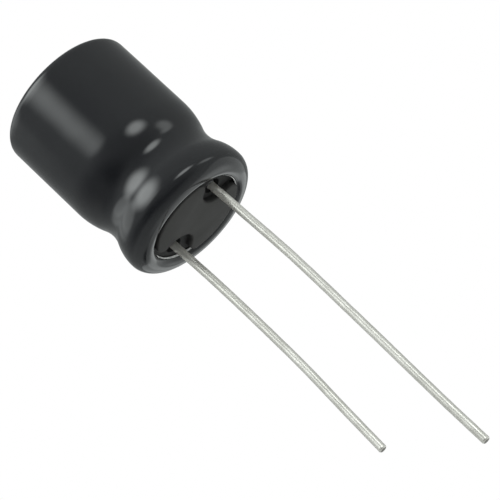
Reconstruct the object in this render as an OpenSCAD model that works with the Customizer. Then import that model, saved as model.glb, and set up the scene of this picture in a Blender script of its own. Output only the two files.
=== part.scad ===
// Radial aluminium electrolytic capacitor with two wire leads.
// Millimetres. The origin is the centre of the seating plane, +Z runs up the can to its closed end,
// and +X points to the anode, the longer lead.

/* [Case] */
// Outer diameter of the bare aluminium can
can_d = 10.0; // [8:0.1:12.5]
// Overall height of the case, from the seating plane to the closed end of the sleeve
case_h = 13.4; // [12:0.1:25]
// Wall of the can
can_t = 0.3; // [0.2:0.05:0.4]
// Thickness of the can's closed end
can_end_t = 0.35; // [0.3:0.05:0.5]
// Outer radius of the can's closed corner
can_corner_r = 0.45; // [0.4:0.05:0.8]
// Outer bend radius of the curled rim
rim_bend_r = 0.98; // [0.7:0.02:1.2]
// Inner bend radius of the curl's tip, which bites into the seal
curl_inner_r = 0.13; // [0.08:0.01:0.2]
// Angle that the rim is curled through, from the upright wall
curl_a = 150; // [125:1:160]

/* [Groove] */
// Straight land between the curled rim and the groove
rim_land = 0.05; // [0.05:0.05:0.8]
// Depth of the rolled groove
groove_depth = 0.55; // [0.3:0.05:0.7]
// Outside radius of the groove's floor
groove_floor_r = 2.72; // [2:0.1:3.5]
// Shoulder radius between the groove and the rim
rim_shoulder_r = 3.0; // [2.5:0.1:4.5]
// Shoulder radius between the groove and the body
body_shoulder_r = 5.4; // [3:0.1:6]

/* [Sleeve] */
// Wall of the heat-shrink sleeve
sleeve_t = 0.1; // [0.08:0.01:0.2]
// Angle that the sleeve's lip wraps round the curled rim
sleeve_lip_a = 133; // [100:1:150]
// How far the sleeve laps over the closed end, in from the can's wall
sleeve_end_lap = 1.1; // [0.9:0.1:1.8]

/* [Vent] */
// Half length of each arm of the scored cross in the closed end
vent_arm = 3.1; // [2:0.1:3.4]
// Width of the score
vent_w = 0.25; // [0.15:0.05:0.4]
// Depth of the score
vent_depth = 0.15; // [0.1:0.01:0.2]

/* [End seal] */
// Height of the rubber seal behind its face
seal_h = 4.8; // [4:0.1:5.5]
// Gap between the raised pad and the lip of the sleeve
pad_gap = 0.15; // [0.05:0.05:0.5]
// Edge radius of the raised pad
pad_edge_r = 0.12; // [0.05:0.01:0.2]
// Radius of the pocket round each lead
pocket_r = 1.36; // [1.3:0.02:1.5]
// How far each pocket's centre lies outside its lead
pocket_shift = 0.2; // [0.1:0.05:0.4]

/* [Leads] */
// Distance between the two leads
lead_pitch = 5.0; // [4.6:0.1:5.2]
// Diameter of the lead wires
lead_d = 0.6; // [0.5:0.05:0.7]
// Length of the anode lead below the seating plane
anode_lead_l = 24.8; // [10:0.1:40]
// Length of the cathode lead below the seating plane
cathode_lead_l = 19.7; // [8:0.1:36]
// Chamfer on the cut end of each lead
lead_tip_c = 0.06; // [0.02:0.01:0.1]
// Depth of the weld between wire and tab, behind the face of the seal
weld_depth = 0.12; // [0.08:0.01:0.15]

/* [Tabs] */
// Diameter of the round shank that passes through the seal
shank_d = 1.2; // [1:0.1:1.4]
// Length of the tapered nose that is welded to the wire
nose_h = 0.6; // [0.4:0.1:1]
// Height of the shank above the seal
shank_rise = 0.3; // [0.2:0.05:0.4]
// Width of the flattened paddle
paddle_w = 1.8; // [1.4:0.1:2.2]
// Thickness of the flattened paddle
paddle_t = 0.2; // [0.15:0.01:0.25]

/* [Winding] */
// Radius of the hole that the winding pin leaves
core_r = 0.8; // [0.6:0.05:1]
// Thickness of the anode foil
anode_t = 0.1; // [0.08:0.01:0.12]
// Thickness of the cathode foil
cathode_t = 0.05; // [0.04:0.01:0.08]
// Thickness of each paper
paper_t = 0.06; // [0.04:0.01:0.08]
// Gap between the seal and the winding
winding_lift = 0.55; // [0.5:0.05:0.8]
// Gap between the winding and the can's closed end
winding_headroom = 0.5; // [0.3:0.05:1]
// How far the papers reach past the foils at each end
paper_margin = 0.45; // [0.3:0.05:0.6]
// Thickness of the closing tape
tape_t = 0.06; // [0.04:0.01:0.1]
// Least room between the taped winding and the can
winding_room = 0.1; // [0.05:0.05:0.4]

/* [Hidden] */
$fn = 96;

// Clearance between pieces that are pressed or shrunk together
skin = 0.02;
// Clearance between neighbouring plies of the winding
ply_gap = 0.02;
// Steps in one turn of the winding
turn_steps = 30;
// Overshoot of a cut past the face that it opens
over = 0.5;

can_r = can_d / 2;
lead_r = lead_d / 2;
shank_r = shank_d / 2;
lead_x = lead_pitch / 2;

// The lip of the sleeve rests on the board, the can and the seal follow inside it
can_z0 = sleeve_t + skin;
can_top = case_h - sleeve_t - skin;
sleeve_end_r = can_r - sleeve_end_lap;
rim_r = can_r - rim_bend_r;
rim_z = can_z0 + rim_bend_r;
tip_r = can_t + curl_inner_r;
tip_z = can_z0 + tip_r;
cavity_top = can_top - can_end_t;
seal_face = tip_z - (curl_inner_r - skin) * sin(curl_a);
seal_top = seal_face + seal_h;
weld_z = seal_face + weld_depth;
lip_r = rim_r - (tip_r + skin + sleeve_t) * sin(sleeve_lip_a - 90);
pad_r = lip_r - pad_gap;

// The groove is three arcs that meet on their tangents
rim_side_r = rim_shoulder_r + groove_floor_r;
body_side_r = body_shoulder_r + groove_floor_r;
rim_side_z = sqrt(2 * groove_depth * rim_side_r - groove_depth * groove_depth);
body_side_z = sqrt(2 * groove_depth * body_side_r - groove_depth * groove_depth);
rim_side_a = atan2(rim_side_z, rim_side_r - groove_depth);
body_side_a = atan2(body_side_z, body_side_r - groove_depth);
groove_z = rim_z + rim_land + rim_side_z;

// One turn of the winding holds both foils and both papers
ply = [anode_t, paper_t, cathode_t, paper_t];
turn_pitch = anode_t + cathode_t + 2 * paper_t + 4 * ply_gap;
winding_r = can_r - can_t - winding_room - tape_t;
turns = floor((winding_r - core_r - paddle_t) / turn_pitch) - 1;
paper_z = seal_top + winding_lift;
paper_w = cavity_top - winding_headroom - paper_z;
foil_z = paper_z + paper_margin;
foil_w = paper_w - 2 * paper_margin;

// The papers run the whole way, the foils start after them and stop before them
foil_start_a = 96;
anode_stop_a = 120;
cathode_stop_a = 60;
// The tape covers all but this much of the last turn
tape_gap_a = 12;

// Order of the plies, from the inside out
ANODE = 0;
INNER_PAPER = 1;
CATHODE = 2;
OUTER_PAPER = 3;
TAPE = 4;

// Each tab lies on its foil in the turn that passes over its lead
function tab_angle(foil_back, side_turn) =
    360 * (round((lead_x - core_r - foil_back - paddle_t / 2) / turn_pitch - side_turn) + side_turn);
anode_tab_a = tab_angle(anode_t, 0);
cathode_tab_a = tab_angle(anode_t + paper_t + cathode_t + 2 * ply_gap, 0.5);

// The plies over a tab bulge: flat over the paddle, then down to the plain winding
bulge_flat_a = 36;
bulge_end_a = 84;

// Points of an arc about [x, z], from angle a0 to angle a1
function arc(x, z, r, a0, a1, steps) =
    [for (i = [0 : steps]) let (a = a0 + (a1 - a0) * i / steps) [x + r * cos(a), z + r * sin(a)]];

// Outline of the case at distance out from the can's outside, from the tip of the curl round the
// rim and up to the closed corner. Past its lowest point the curl turns in on a tighter radius.
function case_line(out, lip_a) = concat(
    arc(rim_r, tip_z, tip_r + out, -lip_a, -90, 6),
    arc(rim_r, rim_z, rim_bend_r + out, -90, 0, 10),
    arc(can_r - rim_shoulder_r, groove_z - rim_side_z, rim_shoulder_r + out, 0, rim_side_a, 6),
    arc(can_r - groove_depth + groove_floor_r, groove_z, groove_floor_r - out,
        180 + rim_side_a, 180 - body_side_a, 8),
    arc(can_r - body_shoulder_r, groove_z + body_side_z, body_shoulder_r + out, -body_side_a, 0, 6),
    arc(can_r - can_corner_r, can_top - can_corner_r, can_corner_r + out, 0, 90, 6));

function reversed(line) = [for (i = [len(line) - 1 : -1 : 0]) line[i]];

// Inside of the can below its closed end, shrunk by gap
module cavity_section(gap, lip_a) {
    line = case_line(-can_t - gap, lip_a);
    intersection() {
        polygon(concat([[0, line[0][1]]], line, [[0, can_top]]));
        square([can_d, cavity_top - gap]);
    }
}

module sleeve() {
    outside = case_line(skin + sleeve_t, sleeve_lip_a);
    inside = case_line(skin, sleeve_lip_a);
    color([0.10, 0.10, 0.11])
    rotate_extrude()
    polygon(concat(outside, [[sleeve_end_r, case_h], [sleeve_end_r, case_h - sleeve_t]],
                   reversed(inside)));
}

module can() {
    outside = case_line(0, curl_a);
    inside = case_line(-can_t, curl_a);
    color([0.80, 0.81, 0.83])
    difference() {
        rotate_extrude()
        difference() {
            polygon(concat([[0, outside[0][1]]], outside, [[0, can_top]]));
            cavity_section(0, curl_a);
            // the mouth, up to the cut edge of the curl
            polygon([[0, 0], [outside[0][0], 0], outside[0], inside[0], [0, inside[0][1] + skin]]);
        }
        for (a = [0, 90])
            rotate([0, 0, a])
            translate([-vent_arm, -vent_w / 2, can_top - vent_depth])
            cube([2 * vent_arm, vent_w, vent_depth + over]);
    }
}

module pad() {
    // the pad is the part of the face that stands up to the board, with a rounded edge
    rotate_extrude()
    polygon(concat([[0, seal_face + skin], [0, 0]],
                   arc(pad_r - pad_edge_r, pad_edge_r, pad_edge_r, -90, 0, 4),
                   [[pad_r, seal_face + skin]]));
}

module end_seal() {
    color([0.20, 0.20, 0.20])
    difference() {
        union() {
            rotate_extrude()
            intersection() {
                cavity_section(skin, curl_a);
                translate([0, seal_face])
                square([can_d, seal_h]);
            }
            difference() {
                pad();
                for (side = [-1, 1])
                    translate([side * (lead_x + pocket_shift), 0, -over])
                    cylinder(r = pocket_r, h = seal_face + over);
            }
        }
        for (side = [-1, 1])
            translate([side * lead_x, 0, -over])
            cylinder(r = shank_r + skin, h = seal_top + 2 * over);
    }
}

// A lead from its weld down to its cut end
module wire(length) {
    translate([0, 0, -length + lead_tip_c])
    cylinder(r = lead_r, h = length - lead_tip_c + weld_z);
    translate([0, 0, -length])
    cylinder(r1 = lead_r - lead_tip_c, r2 = lead_r, h = lead_tip_c);
}

module anode_wire() {
    color([0.82, 0.83, 0.84])
    translate([lead_x, 0, 0])
    wire(anode_lead_l);
}

module cathode_wire() {
    color([0.82, 0.83, 0.84])
    translate([-lead_x, 0, 0])
    wire(cathode_lead_l);
}

// Share of the bulge at an angle from the middle of a tab, the same in every turn
function bulge_share(a) =
    let (off = abs((a + 180) - 360 * floor((a + 180) / 360) - 180))
    off <= bulge_flat_a ? 1 : off >= bulge_end_a ? 0 : (bulge_end_a - off) / (bulge_end_a - bulge_flat_a);

// A tab lifts the later plies of its own turn, and every ply of the turns outside it
function bulge(a, rank, tab_a, tab_rank) =
    a > tab_a + (rank > tab_rank ? -180 : 180) ? paddle_t * bulge_share(a - tab_a) : 0;

// Inner radius of a ply at winding angle a
function ply_r(a, rank) =
    core_r + turn_pitch * a / 360
    + (rank > ANODE ? ply[ANODE] + ply_gap : 0)
    + (rank > INNER_PAPER ? ply[INNER_PAPER] + ply_gap : 0)
    + (rank > CATHODE ? ply[CATHODE] + ply_gap : 0)
    + (rank > OUTER_PAPER ? ply[OUTER_PAPER] + ply_gap : 0)
    + bulge(a, rank, anode_tab_a, ANODE)
    + bulge(a, rank, cathode_tab_a, CATHODE);

// One ply's section: in along its inner face and back along its outer face
module ply_section(rank, thickness, a0, a1, lift = 0) {
    angles = [for (i = [0 : round((a1 - a0) * turn_steps / 360)]) a0 + i * 360 / turn_steps];
    face = [for (a = angles) let (r = ply_r(a, rank) + lift) [r * cos(a), r * sin(a)]];
    back = [for (a = angles) let (r = ply_r(a, rank) + lift + thickness) [r * cos(a), r * sin(a)]];
    polygon(concat(face, reversed(back)));
}

// A tab: nose, round shank, and a paddle that follows the foil it is stitched to
module tab(side, rank, tab_a) {
    translate([side * lead_x, 0, weld_z])
    cylinder(r1 = lead_r, r2 = shank_r, h = nose_h);
    translate([side * lead_x, 0, weld_z + nose_h])
    cylinder(r = shank_r, h = seal_top + shank_rise - weld_z - nose_h);
    translate([0, 0, seal_top + shank_rise / 2])
    linear_extrude(foil_z + foil_w - seal_top - shank_rise / 2)
    intersection() {
        ply_section(rank, paddle_t, tab_a - bulge_flat_a, tab_a + bulge_flat_a,
                    ply[rank] + ply_gap / 2);
        translate([side > 0 ? 0 : -can_r, -paddle_w / 2])
        square([can_r, paddle_w]);
    }
}

module anode_tab() {
    color([0.75, 0.76, 0.78])
    tab(1, ANODE, anode_tab_a);
}

module cathode_tab() {
    color([0.75, 0.76, 0.78])
    tab(-1, CATHODE, cathode_tab_a);
}

module anode_foil() {
    color([0.62, 0.62, 0.64])
    translate([0, 0, foil_z])
    linear_extrude(foil_w)
    ply_section(ANODE, anode_t, foil_start_a, 360 * turns - anode_stop_a);
}

module cathode_foil() {
    color([0.70, 0.70, 0.68])
    translate([0, 0, foil_z])
    linear_extrude(foil_w)
    ply_section(CATHODE, cathode_t, foil_start_a, 360 * turns - cathode_stop_a);
}

module inner_paper() {
    color([0.78, 0.70, 0.52])
    translate([0, 0, paper_z])
    linear_extrude(paper_w)
    ply_section(INNER_PAPER, paper_t, 0, 360 * turns);
}

module outer_paper() {
    color([0.78, 0.70, 0.52])
    translate([0, 0, paper_z])
    linear_extrude(paper_w)
    ply_section(OUTER_PAPER, paper_t, 0, 360 * turns);
}

module winding_tape() {
    color([0.85, 0.75, 0.35])
    translate([0, 0, foil_z])
    linear_extrude(foil_w)
    ply_section(TAPE, tape_t, 360 * (turns - 1) + tape_gap_a, 360 * turns);
}

sleeve();
can();
end_seal();
anode_wire();
cathode_wire();
anode_tab();
cathode_tab();
anode_foil();
inner_paper();
cathode_foil();
outer_paper();
winding_tape();
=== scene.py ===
# %% [markdown]
# A radial electrolytic capacitor seen from its lead end: a black heat-shrink sleeve over a drawn
# aluminium can, a rubber bung in the can's mouth, and two tinned wires. The CAD frame already holds
# every piece at its true size. This script gives each piece the finish of the real one, and remodels
# those that are soft or bent: the shrunk film, the moulded bung and the two wires.

# %% Load the frame
import math

import bmesh
import bpy
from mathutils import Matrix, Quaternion, Vector, noise


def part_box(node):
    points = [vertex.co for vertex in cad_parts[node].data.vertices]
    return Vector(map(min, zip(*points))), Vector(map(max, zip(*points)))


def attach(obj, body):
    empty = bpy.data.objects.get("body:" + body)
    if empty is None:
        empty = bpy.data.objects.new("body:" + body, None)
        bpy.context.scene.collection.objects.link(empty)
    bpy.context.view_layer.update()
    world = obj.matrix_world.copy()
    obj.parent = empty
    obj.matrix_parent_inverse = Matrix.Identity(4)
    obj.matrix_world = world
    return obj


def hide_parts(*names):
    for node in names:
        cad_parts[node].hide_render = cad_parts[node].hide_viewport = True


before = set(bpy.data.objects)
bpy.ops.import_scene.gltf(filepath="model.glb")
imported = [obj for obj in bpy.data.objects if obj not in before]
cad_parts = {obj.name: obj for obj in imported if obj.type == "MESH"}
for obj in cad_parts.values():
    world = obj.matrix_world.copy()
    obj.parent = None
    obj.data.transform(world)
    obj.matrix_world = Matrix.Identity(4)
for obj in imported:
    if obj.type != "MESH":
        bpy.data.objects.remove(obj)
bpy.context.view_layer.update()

MM = 0.001
print("CAD nodes:", sorted(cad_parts))

# %% [markdown]
# On a round piece that stands upright, these hold its outer radius and its two heights.

# %% Read the sizes from the frame
sleeve_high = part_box("sleeve")[1]
can_low, can_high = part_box("can")
seal_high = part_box("end_seal")[1]
anode_low, anode_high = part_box("anode_wire")
cathode_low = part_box("cathode_wire")[0]

case_r = sleeve_high.x
case_h = sleeve_high.z
can_r = can_high.x
can_z0 = can_low.z
can_top = can_high.z
film_out = case_r - can_r
lead_x = (anode_low.x + anode_high.x) / 2
lead_r = (anode_high.x - anode_low.x) / 2
weld_z = anode_high.z
seal_top = seal_high.z
print(f"case {2000 * case_r:.2f} x {1000 * case_h:.2f} mm, leads {2000 * lead_x:.2f} mm apart")

# %% [markdown]
# The can's mouth is closed by rolling: a wheel presses a groove that grips the bung, and the edge is
# curled over it. A box doesn't tell a bend radius, so these are named here, as on the drawing. Each
# bend is an arc that meets the next on a shared tangent, as rolled metal does. The heights and the
# angles at which the arcs meet follow from the radii.

# %% Name the bend radii of the rolled can
RIM_BEND_R = 0.98 * MM
TIP_R = 0.43 * MM
RIM_LAND = 0.05 * MM
GROOVE_DEPTH = 0.55 * MM
GROOVE_FLOOR_R = 2.72 * MM
RIM_SHOULDER_R = 3.0 * MM
BODY_SHOULDER_R = 5.4 * MM
CORNER_R = 0.45 * MM

rim_r = can_r - RIM_BEND_R
rim_z = can_z0 + RIM_BEND_R
tip_z = can_z0 + TIP_R
rim_side_r = RIM_SHOULDER_R + GROOVE_FLOOR_R
body_side_r = BODY_SHOULDER_R + GROOVE_FLOOR_R
rim_side_z = math.sqrt(2 * GROOVE_DEPTH * rim_side_r - GROOVE_DEPTH**2)
body_side_z = math.sqrt(2 * GROOVE_DEPTH * body_side_r - GROOVE_DEPTH**2)
groove_z = rim_z + RIM_LAND + rim_side_z
rim_side_a = math.degrees(math.atan2(rim_side_z, rim_side_r - GROOVE_DEPTH))
body_side_a = math.degrees(math.atan2(body_side_z, body_side_r - GROOVE_DEPTH))
print(f"curl centred at {1000 * rim_r:.2f} mm, groove sides {rim_side_a:.1f} and {body_side_a:.1f} degrees")

# %% [markdown]
# The photograph looks up at the lead end with a long lens, and the camera is rolled, so that the
# leads run to the lower right. An azimuth, an elevation and a roll about the line of sight say that
# in three numbers. A long lens far away keeps the leads nearly parallel, as they are in the photo.

# %% Place the camera
AZIMUTH = 24.20
ELEVATION = -22.279
ROLL = -46.99
AIM = Vector((0.840, 0.378, -4.154)) * MM
DISTANCE = 168.94 * MM
LENS = 187.14
SENSOR = 36.0
CLIP_START = 10 * MM

azimuth = math.radians(AZIMUTH)
elevation = math.radians(ELEVATION)
to_camera = Vector((math.sin(azimuth) * math.cos(elevation),
                    -math.cos(azimuth) * math.cos(elevation),
                    math.sin(elevation)))
camera_data = bpy.data.cameras.new("camera")
camera_data.lens = LENS
camera_data.sensor_width = SENSOR
camera_data.clip_start = CLIP_START
camera = bpy.data.objects.new("camera", camera_data)
camera.location = AIM + to_camera * DISTANCE
level = (-to_camera).to_track_quat("-Z", "Y")
camera.rotation_euler = (level @ Quaternion((0, 0, 1), math.radians(ROLL))).to_euler()
bpy.context.scene.collection.objects.link(camera)
bpy.context.scene.camera = camera
print("camera at", [round(1000 * c, 1) for c in camera.location], "mm")

# %% [markdown]
# Screens and hex codes use sRGB, but a shader works in linear light, so every colour below goes
# through one conversion. A second small helper adds a node with its settings and links, which keeps
# each material to a few readable lines. The third starts a material: its pattern coordinates are
# Object coordinates, in metres, so that a pattern's scale is one over a real size. A Mix node set to
# colours keeps its factor, its two colours and its result under numbers, which are named here.

# %% Helpers for colours and nodes
FACTOR = 0
COLOUR_A = 6
COLOUR_B = 7
MIXED = 2


def linear(hex_code):
    """An sRGB hex colour as the linear RGBA that a shader wants."""
    channels = [int(hex_code[i:i + 2], 16) / 255 for i in (1, 3, 5)]
    return tuple(c / 12.92 if c <= 0.04045 else ((c + 0.055) / 1.055) ** 2.4 for c in channels) + (1.0,)


def add(tree, kind, inputs=None, **settings):
    """Adds a node, makes its settings, and sets or links its inputs by name or number."""
    node = tree.nodes.new(kind)
    for name, value in settings.items():
        setattr(node, name, value)
    for socket, value in (inputs or {}).items():
        if isinstance(value, bpy.types.NodeSocket):
            tree.links.new(value, node.inputs[socket])
        else:
            node.inputs[socket].default_value = value
    return node


def new_material(name):
    """A material with its node tree, its shader and its pattern coordinates."""
    material = bpy.data.materials.new(name)
    material.use_nodes = True
    tree = material.node_tree
    shader = tree.nodes["Principled BSDF"]
    place = add(tree, "ShaderNodeTexCoord").outputs["Object"]
    return material, tree, shader, place


WHITE = linear("#FFFFFF")
print("white is", WHITE, "and the rubber's dark grey is", linear("#2A2A29"))

# %% [markdown]
# The photo is a product shot in a light tent, and glossy black film shows little colour of its own:
# what it shows is the mirror image of the tent. Reflecting the line of sight at each bright or dark
# patch of the film gives a direction in the studio, so the studio can be written down as a few oval
# panels. Each has a direction in the part's frame, a half width, a half height and a turn in
# degrees, a strength, and how its light fades across its edge. A negative strength takes light
# away, where something dark stood before the tent.

# %% The panels of the light tent
SOFT_EDGE = (0.35, 1.35)
FIRM_EDGE = (0.70, 1.12)
CRISP_EDGE = (0.94, 1.06)
PANELS = {
    "key": ((-0.05, -0.67, 0.74), 24.5, 20.5, -56.0, 4.7, SOFT_EDGE),
    "side": ((0.865, -0.48, 0.13), 16.0, 9.0, 0.0, 4.0, SOFT_EDGE),
    "edge": ((0.982, 0.165, -0.087), 14.0, 6.5, 0.0, 1.5, SOFT_EDGE),
    "doorway": ((-0.59, -0.80, -0.06), 24.0, 60.0, 66.0, -0.32, SOFT_EDGE),
    "left_wall": ((-0.66, -0.18, 0.73), 28.0, 19.5, 0.0, 0.50, FIRM_EDGE),
    "left_lamp": ((-0.613, -0.326, 0.719), 21.0, 18.0, 0.0, 0.52, FIRM_EDGE),
    "white_board": ((0.07, 0.785, -0.615), 46.0, 31.0, 0.0, 0.45, CRISP_EDGE),
    "low_board": ((-0.52, 0.83, -0.19), 24.0, 15.0, 0.0, 0.52, CRISP_EDGE),
    "table_lamp": ((-0.025, 0.707, -0.707), 20.0, 13.0, 0.0, 0.60, SOFT_EDGE),
    "table_edge": ((-0.24, 0.29, -0.93), 24.0, 13.0, 0.0, 0.35, SOFT_EDGE),
    "board_stand": ((-0.62, 0.56, -0.56), 15.0, 10.0, 0.0, -0.40, SOFT_EDGE),
    "dark_floor": ((0.38, -0.66, -0.64), 42.0, 16.0, 0.0, -0.14, SOFT_EDGE),
}

world = bpy.data.worlds.new("light_tent")
bpy.context.scene.world = world
world.use_nodes = True
tree = world.node_tree
tree.nodes.clear()
look = add(tree, "ShaderNodeTexCoord").outputs["Generated"]


def panel(direction, half_width, half_height, turn, strength, edge):
    """The light of one oval panel: its strength inside, fading to nothing across its edge."""
    centre = Vector(direction).normalized()
    flat = centre.cross(Vector((0, 0, 1))).normalized()
    steep = centre.cross(flat)
    turn = math.radians(turn)
    wide = (flat * math.cos(turn) + steep * math.sin(turn)) / math.sin(math.radians(half_width))
    high = (steep * math.cos(turn) - flat * math.sin(turn)) / math.sin(math.radians(half_height))
    sideways, upwards, ahead = [
        add(tree, "ShaderNodeVectorMath", {0: look, 1: axis}, operation="DOT_PRODUCT").outputs["Value"]
        for axis in (wide, high, centre)]
    offset = add(tree, "ShaderNodeCombineXYZ", {"X": sideways, "Y": upwards}).outputs[0]
    away = add(tree, "ShaderNodeVectorMath", {0: offset}, operation="LENGTH").outputs["Value"]
    in_front = add(tree, "ShaderNodeMath", {0: ahead, 1: 0.0}, operation="GREATER_THAN").outputs[0]
    light = add(tree, "ShaderNodeMapRange",
                {"Value": away, "From Min": edge[0], "From Max": edge[1], "To Min": strength, "To Max": 0.0},
                interpolation_type="SMOOTHSTEP").outputs["Result"]
    return add(tree, "ShaderNodeMath", {0: light, 1: in_front}, operation="MULTIPLY").outputs[0]


print("tent with", len(PANELS), "panels")

# %% [markdown]
# The tent itself is darkest round the camera, lighter at its sides and a little darker again at the
# back. Only what is mirrored sees the panels. The camera sees plain white behind the part, as in the
# photo, and matt surfaces get an even light, at which a colour shows as it is written.

# %% World: light the tent
FRONT_GREY = 0.26
SIDE_GREY = 0.52
BACK_GREY = 0.35
EVEN_LIGHT = 0.85
TENT_COLOUR = "#F7FCFB"

behind = add(tree, "ShaderNodeVectorMath", {0: look, 1: -to_camera},
             operation="DOT_PRODUCT").outputs["Value"]
front_to_side = add(tree, "ShaderNodeMapRange",
                    {"Value": behind, "From Min": -0.95, "From Max": -0.35,
                     "To Min": FRONT_GREY, "To Max": SIDE_GREY},
                    interpolation_type="SMOOTHSTEP").outputs["Result"]
side_to_back = add(tree, "ShaderNodeMapRange",
                   {"Value": behind, "From Min": 0.0, "From Max": 0.9,
                    "To Min": 0.0, "To Max": BACK_GREY - SIDE_GREY},
                   interpolation_type="SMOOTHSTEP").outputs["Result"]
mirrored = add(tree, "ShaderNodeMath", {0: front_to_side, 1: side_to_back}).outputs[0]
for settings in PANELS.values():
    mirrored = add(tree, "ShaderNodeMath", {0: mirrored, 1: panel(*settings)}).outputs[0]

rays = add(tree, "ShaderNodeLightPath").outputs
tent = add(tree, "ShaderNodeBackground", {"Color": linear(TENT_COLOUR), "Strength": mirrored}).outputs[0]
even = add(tree, "ShaderNodeBackground", {"Color": WHITE, "Strength": EVEN_LIGHT}).outputs[0]
white = add(tree, "ShaderNodeBackground", {"Color": WHITE, "Strength": 1.0}).outputs[0]
lit = add(tree, "ShaderNodeMixShader", {0: rays["Is Diffuse Ray"], 1: tent, 2: even}).outputs[0]
seen = add(tree, "ShaderNodeMixShader", {0: rays["Is Camera Ray"], 1: lit, 2: white}).outputs[0]
add(tree, "ShaderNodeOutputWorld", {"Surface": seen})
print("tent lit, even light", EVEN_LIGHT)

# %% [markdown]
# A real soft box stands where the key panel is, to give the matt pieces a little modelling and the
# floor its shadow. The tent already shows its mirror image, so glossy rays don't see it twice. An
# area lamp's power for a wanted brightness is brightness times pi times its area.

# %% Soft box
BOX_DISTANCE = 300 * MM
BOX_SIZE = 220 * MM
BOX_BRIGHTNESS = 0.9

box_data = bpy.data.lights.new("soft_box", "AREA")
box_data.shape = "DISK"
box_data.size = BOX_SIZE
box_data.energy = BOX_BRIGHTNESS * math.pi * math.pi * BOX_SIZE**2 / 4
soft_box = bpy.data.objects.new("soft_box", box_data)
toward_key = Vector(PANELS["key"][0]).normalized()
soft_box.location = toward_key * BOX_DISTANCE
soft_box.rotation_euler = (-toward_key).to_track_quat("-Z", "Y").to_euler()
soft_box.visible_camera = False
soft_box.visible_glossy = False
bpy.context.scene.collection.objects.link(soft_box)
print(f"soft box: {box_data.energy:.3f} W")

# %% [markdown]
# In the photo the part floats on white, seen from a little below, so the floor lies far under it,
# out of the camera's view. Other views look down on it, and it carries the part's faint shadow.
# The tent is all that glossy surfaces mirror, so the floor is hidden from glossy rays.

# %% Pale floor
FLOOR_Z = -260 * MM
FLOOR_SIZE = 6000 * MM

floor_mesh = bpy.data.meshes.new("floor")
bm = bmesh.new()
bmesh.ops.create_grid(bm, x_segments=1, y_segments=1, size=FLOOR_SIZE / 2)
bmesh.ops.translate(bm, verts=bm.verts, vec=(0, 0, FLOOR_Z))
bm.to_mesh(floor_mesh)
bm.free()
floor = bpy.data.objects.new("floor", floor_mesh)
bpy.context.scene.collection.objects.link(floor)
floor_paint, tree, shader, place = new_material("painted_board")
shader.inputs["Base Color"].default_value = linear("#F2F2F0")
shader.inputs["Roughness"].default_value = 0.9
floor_mesh.materials.append(floor_paint)
floor.visible_glossy = False
print("floor at", 1000 * FLOOR_Z, "mm")

# %% [markdown]
# The sleeve is a tube of black polyester film that was shrunk on with hot air. It is a glossy
# dielectric, nearly black, with a faint unevenness where it shrank more or less. A picture of the
# surface would repeat and blur up close, so the unevenness is bump from two noises: broad swells a
# few millimetres wide that bend the reflections, and a fine skin that softens them.

# %% Material: shrunk polyester film
SWELL_SIZE = 2.5 * MM
SWELL_HEIGHT = 0.012 * MM
SKIN_SIZE = 0.25 * MM
SKIN_HEIGHT = 0.0003 * MM

film, tree, shader, place = new_material("shrunk_polyester_film")
swell = add(tree, "ShaderNodeTexNoise", {"Vector": place, "Scale": 1 / SWELL_SIZE, "Detail": 1.0}).outputs[0]
skin = add(tree, "ShaderNodeTexNoise", {"Vector": place, "Scale": 1 / SKIN_SIZE, "Detail": 2.0}).outputs[0]
swell_bump = add(tree, "ShaderNodeBump", {"Height": swell, "Distance": SWELL_HEIGHT}).outputs[0]
skin_bump = add(tree, "ShaderNodeBump",
                {"Height": skin, "Normal": swell_bump, "Distance": SKIN_HEIGHT}).outputs[0]
tint = add(tree, "ShaderNodeMix",
           {FACTOR: swell, COLOUR_A: linear("#16171A"), COLOUR_B: linear("#1A1B1D")},
           data_type="RGBA").outputs[MIXED]
gloss = add(tree, "ShaderNodeMapRange", {"Value": swell, "To Min": 0.07, "To Max": 0.12}).outputs[0]
tree.links.new(tint, shader.inputs["Base Color"])
tree.links.new(gloss, shader.inputs["Roughness"])
tree.links.new(skin_bump, shader.inputs["Normal"])
shader.inputs["IOR"].default_value = 1.5
print("made", film.name)

# %% [markdown]
# Where the knife cut the tube, the film's edge catches the light as a thin bright line round the
# mouth, and that line is a painted highlight: a second, pale material on the last degrees of the lip
# gives it. Its noise is as coarse as the line is wide, and breaks the painted highlight up.

# %% Material: painted highlight on the film's cut edge
HIGHLIGHT_NOISE_SIZE = 0.3 * MM

painted_edge_highlight, tree, shader, place = new_material("cut_edge_painted_highlight")
highlight_noise = add(tree, "ShaderNodeTexNoise", {"Vector": place, "Scale": 1 / HIGHLIGHT_NOISE_SIZE, "Detail": 2.0}).outputs[0]
tint = add(tree, "ShaderNodeMix",
           {FACTOR: highlight_noise, COLOUR_A: linear("#A4A6A6"), COLOUR_B: linear("#FAFCFC")},
           data_type="RGBA").outputs[MIXED]
tree.links.new(tint, shader.inputs["Base Color"])
shader.inputs["Roughness"].default_value = 0.45
print("made", painted_edge_highlight.name)

# %% [markdown]
# The bung is moulded butyl rubber, a soft dark grey with no gloss. A fine grain from the mould and
# a little dust keep it from looking like plastic. Little light gets down into the two pockets, less
# than the even light of this tent would give, so shade is painted into the rubber's colour, darker with its
# depth behind the face.

# %% Material: moulded butyl rubber
RUBBER_GRAIN = 0.08 * MM
GRAIN_HEIGHT = 0.008 * MM
DUST_SIZE = 1.2 * MM
RECESS_START = 0.06 * MM
RECESS_END = 0.30 * MM

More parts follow.
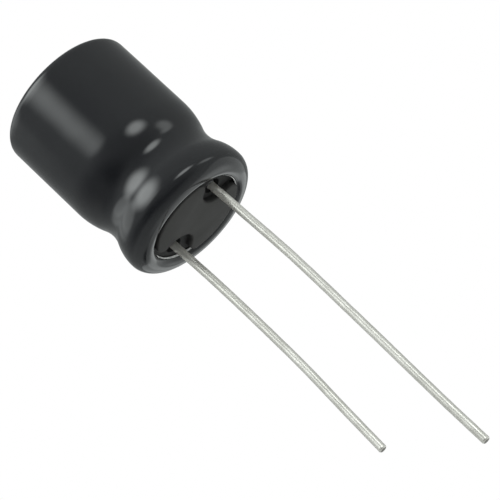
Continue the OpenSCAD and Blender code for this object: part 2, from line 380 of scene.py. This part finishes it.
rubber, tree, shader, place = new_material("moulded_butyl_rubber")
grain = add(tree, "ShaderNodeTexNoise",
            {"Vector": place, "Scale": 1 / RUBBER_GRAIN, "Detail": 3.0}).outputs[0]
dust = add(tree, "ShaderNodeTexNoise", {"Vector": place, "Scale": 1 / DUST_SIZE, "Detail": 3.0}).outputs[0]
bump = add(tree, "ShaderNodeBump", {"Height": grain, "Distance": GRAIN_HEIGHT}).outputs[0]
tint = add(tree, "ShaderNodeMix",
           {FACTOR: dust, COLOUR_A: linear("#2A2A29"), COLOUR_B: linear("#343433")},
           data_type="RGBA").outputs[MIXED]
# painted shade: the rubber's colour darkens with its depth into the pockets
height = add(tree, "ShaderNodeSeparateXYZ", {0: place}).outputs["Z"]
depth = add(tree, "ShaderNodeMapRange",
            {"Value": height, "From Min": RECESS_START, "From Max": RECESS_END}).outputs["Result"]
shaded = add(tree, "ShaderNodeMix",
             {FACTOR: depth, COLOUR_A: tint, COLOUR_B: linear("#1B1B1B")},
             data_type="RGBA").outputs[MIXED]
tree.links.new(shaded, shader.inputs["Base Color"])
tree.links.new(bump, shader.inputs["Normal"])
shader.inputs["Roughness"].default_value = 0.75
print("made", rubber.name)

# %% [markdown]
# The leads are copper-clad steel wire, dipped in tin. Tin is a warm silver metal under a thin dull
# oxide, so the shader is three quarters metal. The dip leaves it uneven, so its gloss is soft and
# broken along the length. The lines from the drawing die are too fine to show, and are drawn as wide
# as they need to be, by a noise that is stretched along the wire.

# %% Material: tinned wire
TIN_SPANGLE = 0.9 * MM
SPANGLE_HEIGHT = 0.006 * MM
DIE_LINE = 0.1 * MM
DIE_LINE_HEIGHT = 0.0003 * MM
DIE_LINE_STRETCH = 0.08

tin, tree, shader, place = new_material("tinned_steel_wire")
spangle = add(tree, "ShaderNodeTexNoise",
              {"Vector": place, "Scale": 1 / TIN_SPANGLE, "Detail": 1.0}).outputs[0]
drawn = add(tree, "ShaderNodeMapping", {"Vector": place, "Scale": (1, 1, DIE_LINE_STRETCH)}).outputs[0]
line = add(tree, "ShaderNodeTexNoise", {"Vector": drawn, "Scale": 1 / DIE_LINE, "Detail": 2.0}).outputs[0]
tint = add(tree, "ShaderNodeMix",
           {FACTOR: spangle, COLOUR_A: linear("#DCDBD3"), COLOUR_B: linear("#F2F1EB")},
           data_type="RGBA").outputs[MIXED]
gloss = add(tree, "ShaderNodeMapRange", {"Value": spangle, "To Min": 0.22, "To Max": 0.34}).outputs[0]
bump = add(tree, "ShaderNodeBump", {"Height": spangle, "Distance": SPANGLE_HEIGHT}).outputs[0]
line_bump = add(tree, "ShaderNodeBump",
                {"Height": line, "Normal": bump, "Distance": DIE_LINE_HEIGHT}).outputs[0]
tree.links.new(tint, shader.inputs["Base Color"])
tree.links.new(gloss, shader.inputs["Roughness"])
tree.links.new(line_bump, shader.inputs["Normal"])
shader.inputs["Metallic"].default_value = 0.75
print("made", tin.name)

# %% [markdown]
# A shear cuts the wires to length after they are tinned, so their ends show bare steel. It is
# darker than the tin and torn rough, which a noise of many octaves gives.

# %% Material: the wire's sheared end
SHEAR_SIZE = 0.1 * MM
SHEAR_HEIGHT = 0.01 * MM

cut_steel, tree, shader, place = new_material("sheared_steel")
shear = add(tree, "ShaderNodeTexNoise", {"Vector": place, "Scale": 1 / SHEAR_SIZE, "Detail": 4.0}).outputs[0]
tint = add(tree, "ShaderNodeMix",
           {FACTOR: shear, COLOUR_A: linear("#6C6A66"), COLOUR_B: linear("#96938D")},
           data_type="RGBA").outputs[MIXED]
bump = add(tree, "ShaderNodeBump", {"Height": shear, "Distance": SHEAR_HEIGHT}).outputs[0]
tree.links.new(tint, shader.inputs["Base Color"])
tree.links.new(bump, shader.inputs["Normal"])
shader.inputs["Metallic"].default_value = 1.0
shader.inputs["Roughness"].default_value = 0.5
print("made", cut_steel.name)

# %% [markdown]
# The can is deep-drawn aluminium. Drawing leaves fine streaks along the axis, so its noise is
# stretched along Z. The tabs are punched and stitched from softer sheet, with a satin face, and
# share the streaks of the sheet's rolling. One function makes both, because only tone and gloss
# differ.

# %% Materials: drawn aluminium and tab aluminium
DRAW_STREAK = 0.12 * MM
STREAK_HEIGHT = 0.002 * MM
STREAK_STRETCH = 0.02


def streaked_aluminium(name, dark, light, roughness):
    """Aluminium with fine streaks along the axis."""
    material, tree, shader, place = new_material(name)
    drawn = add(tree, "ShaderNodeMapping", {"Vector": place, "Scale": (1, 1, STREAK_STRETCH)}).outputs[0]
    streak = add(tree, "ShaderNodeTexNoise",
                 {"Vector": drawn, "Scale": 1 / DRAW_STREAK, "Detail": 4.0}).outputs[0]
    tint = add(tree, "ShaderNodeMix",
               {FACTOR: streak, COLOUR_A: linear(dark), COLOUR_B: linear(light)},
               data_type="RGBA").outputs[MIXED]
    bump = add(tree, "ShaderNodeBump", {"Height": streak, "Distance": STREAK_HEIGHT}).outputs[0]
    tree.links.new(tint, shader.inputs["Base Color"])
    tree.links.new(bump, shader.inputs["Normal"])
    shader.inputs["Metallic"].default_value = 1.0
    shader.inputs["Roughness"].default_value = roughness
    print("made", name)
    return material


can_aluminium = streaked_aluminium("deep_drawn_aluminium", "#C8CACC", "#E2E4E6", 0.28)
tab_aluminium = streaked_aluminium("stitched_tab_aluminium", "#B4B6B8", "#D0D2D4", 0.38)

# %% [markdown]
# Inside, the anode foil is etched until it is matt grey, the cathode foil is a little brighter, and
# both are wound with thin kraft paper that is soaked brown. A strip of clear yellow film tape closes
# the roll. None of this shows from outside, but the pieces are there and carry their own finish: a
# speckle between two tones, drawn coarser than the real pits and fibres, which are too fine to show.

# %% Materials inside the can
SPECKLE_HEIGHT = 0.005 * MM


def speckled(name, dark, light, size, roughness, metallic=0.0):
    """A matt surface with a fine speckle between two tones."""
    material, tree, shader, place = new_material(name)
    speck = add(tree, "ShaderNodeTexNoise", {"Vector": place, "Scale": 1 / size, "Detail": 5.0}).outputs[0]
    tint = add(tree, "ShaderNodeMix",
               {FACTOR: speck, COLOUR_A: linear(dark), COLOUR_B: linear(light)},
               data_type="RGBA").outputs[MIXED]
    bump = add(tree, "ShaderNodeBump", {"Height": speck, "Distance": SPECKLE_HEIGHT}).outputs[0]
    tree.links.new(tint, shader.inputs["Base Color"])
    tree.links.new(bump, shader.inputs["Normal"])
    shader.inputs["Roughness"].default_value = roughness
    shader.inputs["Metallic"].default_value = metallic
    print("made", name)
    return material


etched_foil = speckled("etched_anode_foil", "#77787A", "#94959A", 0.05 * MM, 0.65, metallic=0.7)
plain_foil = speckled("cathode_foil", "#A5A49C", "#BDBCB4", 0.08 * MM, 0.5, metallic=0.9)
kraft_paper = speckled("soaked_kraft_paper", "#A8905C", "#C6B283", 0.15 * MM, 0.8)
film_tape = speckled("polyester_film_tape", "#C9A53C", "#DDBE58", 0.4 * MM, 0.3)

# %% [markdown]
# The can, the tabs and the wound strips already have their real shape in the CAD frame. They keep
# their meshes and only get their finish.

# %% Dress the CAD nodes that keep their shape
node_finish = {
    "can": can_aluminium,
    "anode_tab": tab_aluminium,
    "cathode_tab": tab_aluminium,
    "anode_foil": etched_foil,
    "cathode_foil": plain_foil,
    "inner_paper": kraft_paper,
    "outer_paper": kraft_paper,
    "winding_tape": film_tape,
}
for node_name, material in node_finish.items():
    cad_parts[node_name].material_slots[0].material = material
print("dressed", len(node_finish), "CAD nodes")

# %% [markdown]
# The sleeve, the seal and the can share one outline: a curled rim, a rolled groove and the closed
# corner, all arcs that meet on their tangents. One function draws that outline at any distance
# from the can's outside, so the film and the rubber fit it exactly. A round piece is then that line
# spun once round the axis, as a potter's template would shape it.

# %% The outline that the film and the rubber share
CORNER_STEPS = 8


def arc(centre_r, centre_z, radius, start, end, steps):
    """Points of an arc in the X-Z plane, from one angle to another, in degrees."""
    angles = [math.radians(start + (end - start) * i / steps) for i in range(steps + 1)]
    return [Vector((centre_r + radius * math.cos(a), 0, centre_z + radius * math.sin(a))) for a in angles]


def wall_line(out):
    """From the foot of the rim up over the groove to the closed corner."""
    return (arc(rim_r, rim_z, RIM_BEND_R + out, -90, 0, 18)
            + arc(can_r - RIM_SHOULDER_R, groove_z - rim_side_z, RIM_SHOULDER_R + out, 0, rim_side_a, 10)
            + arc(can_r - GROOVE_DEPTH + GROOVE_FLOOR_R, groove_z, GROOVE_FLOOR_R - out,
                  180 + rim_side_a, 180 - body_side_a, 16)[1:]
            + arc(can_r - BODY_SHOULDER_R, groove_z + body_side_z, BODY_SHOULDER_R + out,
                  -body_side_a, 0, 10)[1:]
            + arc(can_r - CORNER_R, can_top - CORNER_R, CORNER_R + out, 0, 90, CORNER_STEPS))


print("outline has", len(wall_line(0)), "points")

# %% [markdown]
# A spin can leave doubled points on a closed turn and faces that look inwards, so the shell's
# doubles are merged and its widest face is checked against the outward direction.

# %% Helpers: spin a line, and make a mesh object
SAME_POINT = 0.001 * MM
FACET_LONGEST = 0.35 * MM


def spun(line, steps):
    """A shell of revolution from a line of points, whose long stretches are divided first."""
    bm = bmesh.new()
    points = [bm.verts.new(p) for p in line]
    for first, second in zip(points, points[1:]):
        bm.edges.new((first, second))
    for edge in [e for e in bm.edges if e.calc_length() > FACET_LONGEST]:
        bmesh.ops.subdivide_edges(bm, edges=[edge], cuts=int(edge.calc_length() / FACET_LONGEST))
    bmesh.ops.spin(bm, geom=bm.verts[:] + bm.edges[:], cent=(0, 0, 0), axis=(0, 0, 1),
                   dvec=(0, 0, 0), angle=math.tau, steps=steps, use_merge=True, use_duplicate=False)
    bmesh.ops.remove_doubles(bm, verts=bm.verts, dist=SAME_POINT)
    bmesh.ops.recalc_face_normals(bm, faces=bm.faces)
    widest = max(bm.faces, key=lambda f: f.calc_center_median().xy.length)
    outward = widest.calc_center_median().xy.normalized()
    if widest.normal.xy.dot(outward) < 0:
        bmesh.ops.reverse_faces(bm, faces=bm.faces)
    return bm


def as_object(bm, name, *materials, sharp=40):
    """A mesh object from a bmesh, smooth apart from edges sharper than so many degrees."""
    mesh = bpy.data.meshes.new(name)
    bm.to_mesh(mesh)
    bm.free()
    for material in materials:
        mesh.materials.append(material)
    mesh.shade_smooth()
    mesh.set_sharp_from_angle(angle=math.radians(sharp))
    piece = bpy.data.objects.new(name, mesh)
    bpy.context.scene.collection.objects.link(piece)
    return piece


print("facets up to", 1000 * FACET_LONGEST, "mm long")

# %% [markdown]
# Film that shrinks over the curled rim doesn't stop on a perfect circle: it reaches further round
# on one side, and its edge wanders a little. So each point of the lip is turned round the curl by an
# angle that changes with the direction. A shrunk film is never quite round either, so the rest of
# its points are pressed in by faint swells. Both only move points of a spun shell, which keeps the
# outline exact elsewhere.

# %% Helpers: the film's uneven lip and swells
FOOT_A = 90
LIP_A = 155
LIP_LEAN = 12
LIP_WANDER = 2.5
WANDER_SCALE = 1.4
WANDER_HEIGHT = 0.3
SWELL_DEPTH = 0.012 * MM
SWELL_SPREAD = 2.4 * MM


def on_lip(point):
    """Whether a point of the film has passed the foot of the curl."""
    return point.xy.length < rim_r and point.z < tip_z + TIP_R


def wrapped(point):
    """How far round the curl's tip a point lies, in degrees from the upright wall."""
    return FOOT_A + math.degrees(math.atan2(rim_r - point.xy.length, tip_z - point.z))


def lip_turn(point):
    """Turns a point of the lip further round the curl, more on the cathode's side."""
    around = math.atan2(point.y, point.x)
    reach = LIP_A - LIP_LEAN * math.cos(around)
    reach += LIP_WANDER * noise.noise(Vector((WANDER_SCALE * math.cos(around),
                                              WANDER_SCALE * math.sin(around), WANDER_HEIGHT)))
    turned = math.radians((wrapped(point) - FOOT_A) * (reach - FOOT_A) / (LIP_A - FOOT_A))
    radius = math.hypot(rim_r - point.xy.length, tip_z - point.z)
    r = rim_r - radius * math.sin(turned)
    return Vector((r * math.cos(around), r * math.sin(around), tip_z - radius * math.cos(turned)))


def pressed_in(point):
    """Moves a point of the film inwards by its faint swells."""
    share = 0.5 + 0.5 * noise.noise(point / SWELL_SPREAD)
    outward = Vector((point.x, point.y, 0)).normalized()
    return point - outward * SWELL_DEPTH * share


print(f"lip wraps {LIP_A - LIP_LEAN} to {LIP_A + LIP_LEAN} degrees round the curl")

# %% [markdown]
# The sleeve is spun from one line: the lip, the shared outline at the film's outside, and the flat
# lap on the closed end. The faces next to the cut edge get the pale material, a painted highlight,
# except on the side that faces -Y, where no highlight is painted. A Solidify modifier gives the film
# its wall last, so the bending above stays on one thin shell, and its rim takes the pale material too.

# %% Model the sleeve
FILM_T = 0.10 * MM
END_LAP = 1.1 * MM
EDGE_BAND = 11
HIGHLIGHT_SIDE_LIMIT = -0.45
FILM_STEPS = 240
LIP_STEPS = 16

lip = arc(rim_r, tip_z, TIP_R + film_out, -LIP_A, -FOOT_A, LIP_STEPS)
end_lap = [Vector((can_r - END_LAP, 0, case_h))]
bm = spun(lip[:-1] + wall_line(film_out) + end_lap, FILM_STEPS)
# the pale material on the faces next to the cut edge is a painted highlight
for face in bm.faces:
    centre = face.calc_center_median()
    near_cut = on_lip(centre) and wrapped(centre) > LIP_A - EDGE_BAND
    if near_cut and centre.y > HIGHLIGHT_SIDE_LIMIT * centre.xy.length:
        face.material_index = 1
for vert in bm.verts:
    if on_lip(vert.co):
        vert.co = lip_turn(vert.co)
    elif vert.co.z < case_h - CORNER_R:
        vert.co = pressed_in(vert.co)
sleeve = as_object(bm, "sleeve_film", film, painted_edge_highlight)
wall = sleeve.modifiers.new("wall", "SOLIDIFY")
wall.thickness = FILM_T
wall.offset = -1
wall.use_even_offset = True
# the wall's rim gets the painted highlight material too
wall.material_offset_rim = 1
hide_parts("sleeve")
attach(sleeve, "root")
print("sleeve:", len(sleeve.data.polygons), "faces before its wall")

# %% [markdown]
# The bung is one moulding: a round plug that the groove grips, and a raised pad that stands on the
# board, with a round pocket bitten out round each lead. The mould's corners are rounded, so the
# pad's outline is all arcs that meet on their tangents: its edge, the two bites, and a fillet at
# each of the four corners. The fillet's centre lies one fillet radius inside the pad's edge and one
# outside the bite, which fixes its place.

# %% The outline of the raised pad
PAD_R = 3.49 * MM
PAD_SHIFT = 0.12 * MM
PAD_CORNER = 0.65 * MM
POCKET_R = 1.36 * MM
POCKET_SHIFT = 0.22 * MM
PAD_STEPS = 40
POCKET_STEPS = 30
FILLET_STEPS = 12

pocket_x = lead_x + POCKET_SHIFT


def pad_outline():
    """The pad's outline: its round edge, the two pocket bites, and a fillet at each corner."""
    to_edge = PAD_R - PAD_CORNER
    to_bite = POCKET_R + PAD_CORNER
    fillet_x = (to_edge**2 - to_bite**2 + pocket_x**2) / (2 * pocket_x)
    fillet_y = math.sqrt(to_edge**2 - fillet_x**2)
    edge_a = math.degrees(math.atan2(fillet_y, fillet_x))
    bite_a = math.degrees(math.atan2(fillet_y, fillet_x - pocket_x))
    points = []
    for half, side in ((0, 1), (180, -1)):
        points += arc(0, 0, PAD_R, half + edge_a, half + 180 - edge_a, PAD_STEPS)[:-1]
        points += arc(-side * fillet_x, side * fillet_y, PAD_CORNER,
                      half + 180 - edge_a, half + 360 - bite_a, FILLET_STEPS)[:-1]
        points += arc(-side * pocket_x, 0, POCKET_R,
                      half + 180 - bite_a, half + bite_a - 180, POCKET_STEPS)[:-1]
        points += arc(-side * fillet_x, -side * fillet_y, PAD_CORNER,
                      half + bite_a, half + 180 + edge_a, FILLET_STEPS)[:-1]
    return [Vector((p.x + PAD_SHIFT, p.z, 0)) for p in points]


print("pad outline has", len(pad_outline()), "points")

# %% [markdown]
# The plug is spun from the shared outline, set in by the can's wall and cut flat at its two faces.
# The pad is its outline extruded, with a bevel round the foot that meets the board, and it reaches
# a little into the plug, so that a join has no shared face.

# %% Model the bung's plug, its pad and the drill for its bores
SEAL_WALL = 0.32 * MM
SEAL_FACE = 0.495 * MM
SEAL_STEPS = 192
CUT_EXACT = 0.0001 * MM
PAD_EDGE = 0.12 * MM
PAD_OVERLAP = 0.1 * MM
BORE_R = 0.62 * MM
BORE_POINTS = 48
RUBBER_SHARP = 35

bm = spun(wall_line(-SEAL_WALL)[:-(CORNER_STEPS + 1)], SEAL_STEPS)
for height, outward in ((SEAL_FACE, -1), (seal_top, 1)):
    bmesh.ops.bisect_plane(bm, geom=bm.verts[:] + bm.edges[:] + bm.faces[:], dist=CUT_EXACT,
                           plane_co=(0, 0, height), plane_no=(0, 0, outward), clear_outer=True)
bmesh.ops.holes_fill(bm, edges=[e for e in bm.edges if e.is_boundary])
bmesh.ops.recalc_face_normals(bm, faces=bm.faces)
bung = as_object(bm, "bung", rubber, sharp=RUBBER_SHARP)

bm = bmesh.new()
face = bm.faces.new([bm.verts.new(p) for p in pad_outline()])
raised = bmesh.ops.extrude_face_region(bm, geom=[face])["geom"]
bmesh.ops.translate(bm, verts=[g for g in raised if isinstance(g, bmesh.types.BMVert)],
                    vec=(0, 0, SEAL_FACE + PAD_OVERLAP))
bmesh.ops.recalc_face_normals(bm, faces=bm.faces)
foot = [e for e in bm.edges if all(v.co.z < PAD_EDGE / 2 for v in e.verts)]
bmesh.ops.bevel(bm, geom=foot, affect="EDGES", offset=PAD_EDGE, segments=4, profile=0.5, material=-1)
pad = as_object(bm, "pad", rubber, sharp=RUBBER_SHARP)

bm = bmesh.new()
for x in (-lead_x, lead_x):
    made = bmesh.ops.create_cone(bm, cap_ends=True, segments=BORE_POINTS, radius1=BORE_R,
                                 radius2=BORE_R, depth=2 * seal_top)
    bmesh.ops.translate(bm, verts=made["verts"], vec=(x, 0, seal_top / 2))
drill = as_object(bm, "drill", rubber)
print("plug", len(bung.data.polygons), "faces, pad", len(pad.data.polygons), "faces")

# %% [markdown]
# One Boolean joins the pad to the plug and another drills the two holes. They are applied here and
# the tools deleted, because a cutter left in the scene would be exported as a piece of its own.

# %% Join the bung and drill it
for tool, operation in ((pad, "UNION"), (drill, "DIFFERENCE")):
    cut = bung.modifiers.new(operation.lower(), "BOOLEAN")
    cut.operation = operation
    cut.object = tool
    cut.solver = "EXACT"
bpy.context.view_layer.update()
finished = bpy.data.meshes.new_from_object(bung.evaluated_get(bpy.context.evaluated_depsgraph_get()))
bung.modifiers.clear()
bung.data = finished
for tool in (pad, drill):
    bpy.data.objects.remove(tool)
finished.shade_smooth()
finished.set_sharp_from_angle(angle=math.radians(RUBBER_SHARP))
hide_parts("end_seal")
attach(bung, "root")
print("bung:", len(bung.data.polygons), "faces")

# %% [markdown]
# The wires were taped on a reel, and have kept a slight bow, which the photograph shows across its
# line of sight. A few offsets, read from it, say how far each wire strays at a height, and a smooth
# curve runs through them.

# %% The bow of each wire
BOW_DIRECTION = Vector((0.912, 0.410, 0))
# height and sideways offset, in millimetres, from the weld to the tip
ANODE_BOW = ((0.7, 0.0), (-2.4, 0.10), (-7.0, 0.22), (-14.0, 0.14), (-21.0, 0.01), (-24.8, -0.01))
CATHODE_BOW = ((0.7, 0.0), (-2.7, 0.12), (-7.0, 0.15), (-11.8, 0.09), (-15.8, -0.10), (-19.7, -0.27))


def bow(points, z):
    """The offset at a height, on a cubic curve through the points with their neighbours' slope."""
    last = len(points) - 2
    i = next((k for k in range(last) if z >= points[k + 1][0]), last)
    (z0, offset0), (z1, offset1) = points[i], points[i + 1]
    before = points[max(i - 1, 0)]
    after = points[min(i + 2, len(points) - 1)]
    slope0 = (offset1 - before[1]) / (z1 - before[0])
    slope1 = (after[1] - offset0) / (after[0] - z0)
    span = z1 - z0
    t = (z - z0) / span
    return ((2 * t**3 - 3 * t**2 + 1) * offset0 + (t**3 - 2 * t**2 + t) * span * slope0
            + (3 * t**2 - 2 * t**3) * offset1 + (t**3 - t**2) * span * slope1)


print(f"anode bows {bow(ANODE_BOW, -7.0):.2f} mm, cathode {bow(CATHODE_BOW, -7.0):.2f} mm, 7 mm down")

# %% [markdown]
# Each wire is extruded ring by ring from its weld to its cut end, so that there are rings to bend,
# and then bent by its bow. A shallow noise gives the tin its uneven thickness, and a small bevel
# rounds the edge that the cutter left.

# %% Model the two wires
RING_STEP = 0.2 * MM
RING_POINTS = 28
TIP_BEVEL = 0.13 * MM
DIP_DEPTH = 0.016 * MM
DIP_SIZE = 0.7 * MM


def wire(name, node, x, end_z, bow_points, seed):
    """One lead, from its weld down to its cut end."""
    bm = bmesh.new()
    bmesh.ops.create_circle(bm, cap_ends=False, segments=RING_POINTS, radius=lead_r)
    bmesh.ops.translate(bm, verts=bm.verts, vec=(0, 0, weld_z))
    ring = bm.edges[:]
    bmesh.ops.contextual_create(bm, geom=ring)
    rings = round((weld_z - end_z) / RING_STEP)
    step = (weld_z - end_z) / rings
    for _ in range(rings):
        made = bmesh.ops.extrude_edge_only(bm, edges=ring)["geom"]
        ring = [g for g in made if isinstance(g, bmesh.types.BMEdge)]
        bmesh.ops.translate(bm, verts=[g for g in made if isinstance(g, bmesh.types.BMVert)],
                            vec=(0, 0, -step))
    end = bmesh.ops.contextual_create(bm, geom=ring)["faces"][0]
    end.material_index = 1
    bmesh.ops.bevel(bm, geom=ring, affect="EDGES", offset=TIP_BEVEL, segments=3, profile=0.5,
                    material=-1)
    bmesh.ops.recalc_face_normals(bm, faces=bm.faces)
    for vert in bm.verts:
        z = vert.co.z
        dip = 0.5 + 0.5 * noise.noise(Vector((vert.co.x, vert.co.y, z)) / DIP_SIZE + Vector((seed, 0, 0)))
        vert.co.xy *= 1 - dip * DIP_DEPTH / lead_r
        vert.co += BOW_DIRECTION * bow(bow_points, z / MM) * MM
        vert.co.x += x
    piece = as_object(bm, name, tin, cut_steel)
    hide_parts(node)
    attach(piece, "root")
    print(f"{name}: {len(piece.data.polygons)} faces, tip at {1000 * end_z:.1f} mm")


wire("anode_lead", "anode_wire", lead_x, anode_low.z, ANODE_BOW, 3.0)
wire("cathode_lead", "cathode_wire", -lead_x, cathode_low.z, CATHODE_BOW, 11.0)

# %% [markdown]
# The Standard view transform shows colours as they were written.

# %% Finish
bpy.context.scene.view_settings.view_transform = "Standard"
